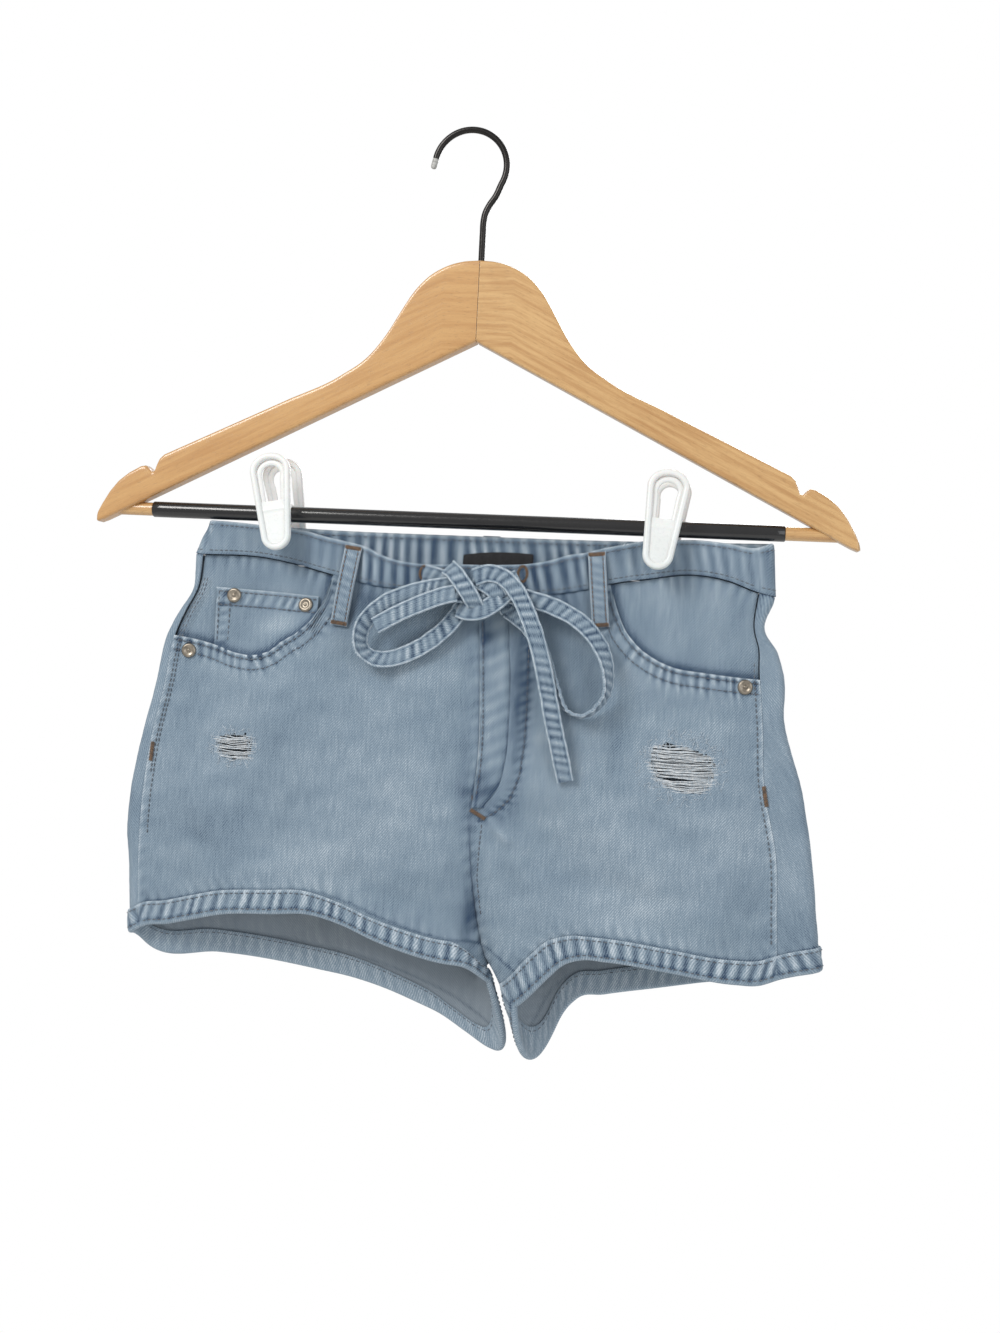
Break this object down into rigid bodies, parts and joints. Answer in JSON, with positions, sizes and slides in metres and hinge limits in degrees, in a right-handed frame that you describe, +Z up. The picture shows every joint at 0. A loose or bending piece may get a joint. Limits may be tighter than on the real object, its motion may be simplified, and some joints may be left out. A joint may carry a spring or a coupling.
{
  "type": "denim shorts on a clip hanger",
  "caption": "Denim shorts with a tied drawstring at the waist, hanging nearly flat by the waistband from the clips of a wooden hanger",
  "frame": {"origin": "where the rail bears, on the underside of the top of the hanger's hook", "axes": "+Z up; -Y is the front of the shorts and -X the left as seen from the front, so the shorts' flat front faces -Y"},
  "size_m": [0.4447, 0.057, 0.5354],
  "materials": {
    "denim": "washed mid-blue denim twill, faded along ridges and seams",
    "facing_denim": "washed denim twill behind the pocket mouths",
    "drawstring": "narrow denim strap, edge-stitched, faded edges",
    "label": "black woven label, blank",
    "rivet": "antique plated rivet",
    "wood": "clear-varnished light wood",
    "hook": "dark bronzed steel wire",
    "hook_tip": "pale plastic cap",
    "bar_sleeve": "black glossy grip sleeve",
    "clip": "white moulded plastic"
  },
  "bodies": {
    "root": {"back_left": "denim", "back_right": "denim", "bar_dowel": "wood", "bar_sleeve": "bar_sleeve", "clip_left_back": "clip", "clip_left_front": "clip", "clip_left_ring": "clip", "clip_right_back": "clip", "clip_right_front": "clip", "clip_right_ring": "clip", "coin_pocket": "denim", "drawstring_knot": "drawstring", "drawstring_lead_left": "drawstring", "drawstring_lead_right": "drawstring", "drawstring_loop_left": "drawstring", "drawstring_loop_right": "drawstring", "drawstring_tail_left": "drawstring", "drawstring_tail_right": "drawstring", "facing_left": "facing_denim", "facing_right": "facing_denim", "fly_strip": "denim", "front_left": "denim", "front_right": "denim", "hem_back_left": "denim", "hem_back_right": "denim", "hem_front_left": "denim", "hem_front_right": "denim", "hook": "hook", "hook_tip": "hook_tip", "loop_back": "denim", "loop_left": "denim", "loop_right": "denim", "rivet_coin_inner": "rivet", "rivet_coin_outer": "rivet", "rivet_mouth_left": "rivet", "rivet_mouth_right": "rivet", "waist_label": "label", "waistband_back": "denim", "waistband_front": "denim", "wood_left": "wood", "wood_right": "wood"}
  },
  "joints": []
}
